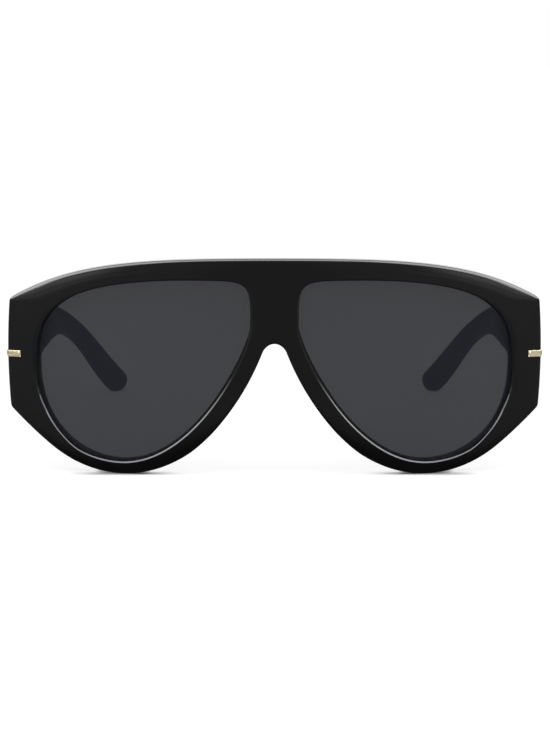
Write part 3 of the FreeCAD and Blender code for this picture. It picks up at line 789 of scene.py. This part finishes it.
STRAIGHT_STEPS = 60
BEND_STEPS = 44
CAP_STEPS = 20
BUTT_STEPS = 16
TEMPLE_SLICES = ([TEMPLE_START + 2 + 4 * k for k in range(18)]
                 + [PLAN_BEND + 2 * k for k in range(25)])


def temple_outline():
    """Side view of a temple as (y, z): straight, then bent down to a round end."""
    radius = TIP_WIDTH / 2
    along = math.cos(TIP_ANGLE), -math.sin(TIP_ANGLE)
    up = math.sin(TIP_ANGLE) * radius, math.cos(TIP_ANGLE) * radius
    cap = TEMPLE_DEPTH - radius, radius
    top_start = TEMPLE_START, TEMPLE_LOW + TEMPLE_END_HEIGHT
    top_bend = UPPER_BEND, TEMPLE_LOW + TEMPLE_BEND_HEIGHT
    low_start, low_bend = (TEMPLE_START, TEMPLE_LOW), (LOWER_BEND, TEMPLE_LOW)
    tip_top, tip_low = (cap[0] + up[0], cap[1] + up[1]), (cap[0] - up[0], cap[1] - up[1])

    def bend(start, at, end):
        reach = BEND_FULLNESS * math.dist(at, end)
        length = math.dist(start, at)
        ahead = (at[0] - start[0]) / length, (at[1] - start[1]) / length
        return bezier(at, (at[0] + ahead[0] * reach, at[1] + ahead[1] * reach),
                      (end[0] - along[0] * reach, end[1] - along[1] * reach), end, BEND_STEPS)

    tip_angle = math.degrees(TIP_ANGLE)
    points = line(top_start, top_bend, STRAIGHT_STEPS) + bend(top_start, top_bend, tip_top)
    points += arc(cap, radius, 90 - tip_angle, -90 - tip_angle, CAP_STEPS)
    lower = [tip_low] + bend(low_start, low_bend, tip_low)[:0:-1]
    lower += line(low_bend, low_start, STRAIGHT_STEPS)
    points += [(y, z + eased(LOWER_WAVE, y)) for y, z in lower]
    return points + line(low_start, top_start, BUTT_STEPS)


def temple_x(y, share):
    """Plan of a temple: share 0 is its outer face and 1 its inner one."""
    centre = TEMPLE_OUTER - SPLAY * (PLAN_BEND - HINGE_SEAT) - PLAN_RADIUS
    faces = []
    for start, radius in ((TEMPLE_OUTER, PLAN_RADIUS),
                          (TEMPLE_OUTER - TEMPLE_THICKNESS, PLAN_RADIUS - TIP_THICKNESS)):
        turn_end = PLAN_BEND + radius * math.sin(PLAN_TURN)
        if y <= PLAN_BEND:
            part = (y - HINGE_SEAT) / (PLAN_BEND - HINGE_SEAT)
            faces.append(start + (centre + radius - start) * part)
        elif y <= turn_end:
            faces.append(centre + math.sqrt(radius ** 2 - (y - PLAN_BEND) ** 2))
        else:
            faces.append(centre + radius * math.cos(PLAN_TURN) - (y - turn_end) * math.tan(PLAN_TURN))
    return faces[0] + (faces[1] - faces[0]) * share


def butt_y(x):
    """Where the temple's front end meets the back of the front, with a small gap."""
    return CURVE - math.sqrt((CURVE - THICKNESS - BUTT_GAP) ** 2 - x * x)


def temple(side, sign):
    bm = bmesh.new()
    outline = temple_outline()
    butt_end = TEMPLE_START + BUTT_RUN
    scale = []
    for y, z in outline:
        scale.append(BUTT_ROUND_SHARE
                     + (1 - BUTT_ROUND_SHARE) * smooth(share_of(y, TEMPLE_START, butt_end))
                     + (TIP_ROUND_SHARE - 1) * share_of(y, *TIP_ROUND_RUN))
    profile = [(EDGE_ROUND + SIDE_HEM, 0.0)]
    profile += [(o, d / TIP_THICKNESS) for o, d in quarter(EDGE_ROUND, EDGE_ROUND_STEPS)]
    profile += [(o, 1 - d) for o, d in reversed(profile)]
    rings = []
    for distance, share in profile:
        edge = inset(outline, [distance * k for k in scale])
        rings.append(add_ring(bm, [(share, y, z) for y, z in edge]))
    skin_and_close(bm, rings)
    slice_along(bm, 1, TEMPLE_SLICES)

    def to_space(share, y, z):
        x = temple_x(y, share)
        near = 1 - share_of(y, TEMPLE_START, butt_end)
        return sign * x, y + (butt_y(x) - TEMPLE_START) * near + FRONT_Y, z

    finish_mesh(bm, f"temple_{side}", to_space, ACETATE, f"{side}_arm")


front_frame()
for side, sign in SIDES:
    lens(side, sign)
    nose_pad(side, sign)
    corner_trim(side, sign)
    temple(side, sign)

# Nodes that keep the part's own mesh
HARDWARE = (("hinge_front_leaf", NICKEL, "hinge_steel"), ("hinge_temple_leaf", NICKEL, "hinge_steel"),
            ("hinge_screw", NICKEL, "hinge_steel"), ("hinge_front_rivets", NICKEL, "hinge_steel"),
            ("hinge_temple_rivets", NICKEL, "hinge_steel"), ("core_wire", WIRE, "core_steel"))
for label, material, slot in HARDWARE:
    for side, _ in SIDES:
        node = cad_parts[f"{label}_{side}"]
        node.data.materials.clear()
        node.data.materials.append(material)


# Stage

FLOOR_SIZE = 6.0
WHITE = (1.0, 1.0, 1.0, 1.0)

# Painted shade in the table's glow: how near the part must be to darken it, and the middle of the
# painted shadow line under each rim
CONTACT_HEIGHT = 0.0012
SHADOW_LINE_X = 0.042
SHADOW_LINE_Y = -0.06475

# Middle of the painted shade that gloss sees on the table
GLOSS_SHADE_MIDDLE = (0.0, -0.04, 0.0)

# Strength of the world as light, and as background
AMBIENT = 0.80
BACKGROUND = 1.0

CAMERA_DISTANCE = 0.620
CAMERA_ELEVATION = math.radians(9.6)
CAMERA_LENS = 111.45
CAMERA_SENSOR = 36.0
AIM = Vector((0.000137, FRONT_Y * MM, 0.0307))


def facing(place, target):
    return (Vector(target) - Vector(place)).to_track_quat("-Z", "Y").to_euler()


def plane(name, width, depth, place):
    bm = bmesh.new()
    corners = ((-1, -1), (1, -1), (1, 1), (-1, 1))
    bm.faces.new([bm.verts.new((x * width / 2, y * depth / 2, 0)) for x, y in corners])
    mesh = bpy.data.meshes.new(name)
    bm.to_mesh(mesh)
    bm.free()
    item = bpy.data.objects.new(name, mesh)
    item.location = place
    bpy.context.scene.collection.objects.link(item)
    return item


def floor_material():
    """White table. It glows where it is looked at, with painted shade in the glow where the part nearly
    touches it and a painted shadow line under each rim;
    gloss sees a painted reflection of it, with painted shade under the part and painted light far out at
    the sides."""
    material, tree, shader = new_material("floor_white")
    nodes, links = tree.nodes, tree.links
    set_inputs(shader, {"Base Color": (0.28, 0.28, 0.28, 1.0), "Roughness": 0.9,
                        "Specular IOR Level": 0.0})
    rays = nodes.new("ShaderNodeLightPath").outputs
    place = object_place(tree)
    axes = split(tree, place)
    aside = calc(tree, "ABSOLUTE", axes["X"])

    # Painted shade: the glow is darkened where an occlusion test finds the part within reach
    occlusion_shade = nodes.new("ShaderNodeAmbientOcclusion")
    occlusion_shade.samples = 16
    occlusion_shade.inputs["Distance"].default_value = CONTACT_HEIGHT
    level = smooth_step(tree, occlusion_shade.outputs["AO"], (0.15, 0.85), (0.32, 0.80))
    # Painted shadow: a straight dark line under each rim, at fixed places on the table
    along = calc(tree, "ABSOLUTE", calc(tree, "SUBTRACT", aside, SHADOW_LINE_X))
    across = calc(tree, "ABSOLUTE", calc(tree, "SUBTRACT", axes["Y"], SHADOW_LINE_Y))
    painted_shadow_line = calc(tree, "MULTIPLY", smooth_step(tree, along, (0.003, 0.0175), (0.92, 0.0)),
                   smooth_step(tree, across, (0.0, 0.0032), (1.0, 0.0)))
    level = calc(tree, "MULTIPLY", level, calc(tree, "SUBTRACT", 1.0, painted_shadow_line))
    glow = emission(tree, calc(tree, "MULTIPLY", rays["Is Camera Ray"], level))
    table = combined(tree, "ShaderNodeAddShader", shader.outputs["BSDF"], glow)

    # Painted reflection: gloss sees the table as painted shade under the part and painted light far out
    # at the sides
    distance = nodes.new("ShaderNodeVectorMath")
    distance.operation = "DISTANCE"
    distance.inputs[1].default_value = GLOSS_SHADE_MIDDLE
    links.new(place, distance.inputs[0])
    away = distance.outputs["Value"]
    under = smooth_step(tree, away, (0.055, 0.115), (0.14, 0.71))
    beside = smooth_step(tree, aside, (0.05, 0.16), (0.0, 0.20))
    turned = calc(tree, "DIVIDE", aside, away)
    slanting = calc(tree, "MULTIPLY", smooth_step(tree, turned, (0.28, 0.52), (0.0, 1.0)),
                    smooth_step(tree, turned, (0.68, 0.85), (1.0, 0.0)))
    far = calc(tree, "MULTIPLY", smooth_step(tree, aside, (0.15, 0.75), (0.0, 1.0)), slanting)
    gloss = emission(tree, calc(tree, "ADD", calc(tree, "ADD", under, beside), far))
    look = combined(tree, "ShaderNodeMixShader", rays["Is Glossy Ray"], table, gloss)
    links.new(look, nodes["Material Output"].inputs["Surface"])
    return material


def card(name, width, depth, place, target, strength, soft):
    """Studio card that only shows in gloss, with soft edges."""
    item = plane(name, width, depth, place)
    item.rotation_euler = facing(place, target)
    for kind in ("camera", "diffuse", "transmission", "volume_scatter", "shadow"):
        setattr(item, f"visible_{kind}", False)
    material, tree, shader = new_material(name)
    tree.nodes.remove(shader)
    axes = split(tree, object_place(tree))
    edges = []
    for axis, size, share in (("X", width, soft[0]), ("Y", depth, soft[1])):
        out = calc(tree, "ABSOLUTE", axes[axis])
        edges.append(smooth_step(tree, out, (size / 2 * (1 - share), size / 2), (1.0, 0.0)))
    light = emission(tree, calc(tree, "MULTIPLY", calc(tree, "MULTIPLY", *edges), strength))
    clear = tree.nodes.new("ShaderNodeBsdfTransparent")
    both = combined(tree, "ShaderNodeAddShader", light, clear.outputs["BSDF"])
    tree.links.new(both, tree.nodes["Material Output"].inputs["Surface"])
    item.data.materials.append(material)


def softbox(name, width, depth, place, target, power):
    """Lamp that lights the part but doesn't show in gloss."""
    light = bpy.data.lights.new(name, "AREA")
    light.shape = "RECTANGLE"
    light.size, light.size_y = width, depth
    light.energy = power
    item = bpy.data.objects.new(name, light)
    item.location = place
    item.rotation_euler = facing(place, target)
    item.visible_camera = False
    item.visible_glossy = False
    bpy.context.scene.collection.objects.link(item)


def studio_world():
    """White to the rays that show the background, which are camera, glossy and transmitted ones."""
    world = bpy.data.worlds.new("studio")
    world.use_nodes = True
    tree = world.node_tree
    rays = tree.nodes.new("ShaderNodeLightPath").outputs
    shown = calc(tree, "MAXIMUM", calc(tree, "MAXIMUM", rays["Is Camera Ray"], rays["Is Glossy Ray"]),
                 rays["Is Transmission Ray"])
    ambient, white = tree.nodes["Background"], tree.nodes.new("ShaderNodeBackground")
    set_inputs(ambient, {"Color": WHITE, "Strength": AMBIENT})
    set_inputs(white, {"Color": WHITE, "Strength": BACKGROUND})
    mix = combined(tree, "ShaderNodeMixShader", shown, ambient.outputs["Background"],
                   white.outputs["Background"])
    tree.links.new(mix, tree.nodes["World Output"].inputs["Surface"])
    return world


scene = bpy.context.scene
floor = plane("floor", FLOOR_SIZE, FLOOR_SIZE, (0.0, 0.0, 0.0))
floor.data.materials.append(floor_material())
card("overhead_card", 3.6, 1.28, (0.0, -0.37, 0.62), (0.0, -0.37, 0.0), 20.0, (0.4, 0.13))
for side, sign in SIDES:
    card(f"corner_card_{side}", 0.34, 0.34, (sign * 0.97, -0.84, 0.41), (0.0, -0.06, 0.04), 12.0,
         (0.6, 0.5))
    card(f"side_card_{side}", 0.7, 0.62, (sign * 0.82, -1.15, 0.27), (0.0, -0.06, 0.05), 2.8,
         (0.9, 0.9))
card("back_card", 2.6, 0.6, (0.0, 1.3, 0.28), (0.0, 0.0, 0.06), 0.6, (0.4, 0.6))
softbox("top_softbox", 1.8, 0.16, (0.0, -0.20, 0.62), (0.0, -0.06, 0.03), 2.2)
scene.world = studio_world()

camera = bpy.data.cameras.new("camera")
camera.lens = CAMERA_LENS
camera.sensor_width = CAMERA_SENSOR
view = bpy.data.objects.new("camera", camera)
view.location = AIM + CAMERA_DISTANCE * Vector((0.0, -math.cos(CAMERA_ELEVATION),
                                                math.sin(CAMERA_ELEVATION)))
view.rotation_euler = (math.pi / 2 - CAMERA_ELEVATION, 0.0, 0.0)
scene.collection.objects.link(view)
scene.camera = view
scene.view_settings.view_transform = "Standard"
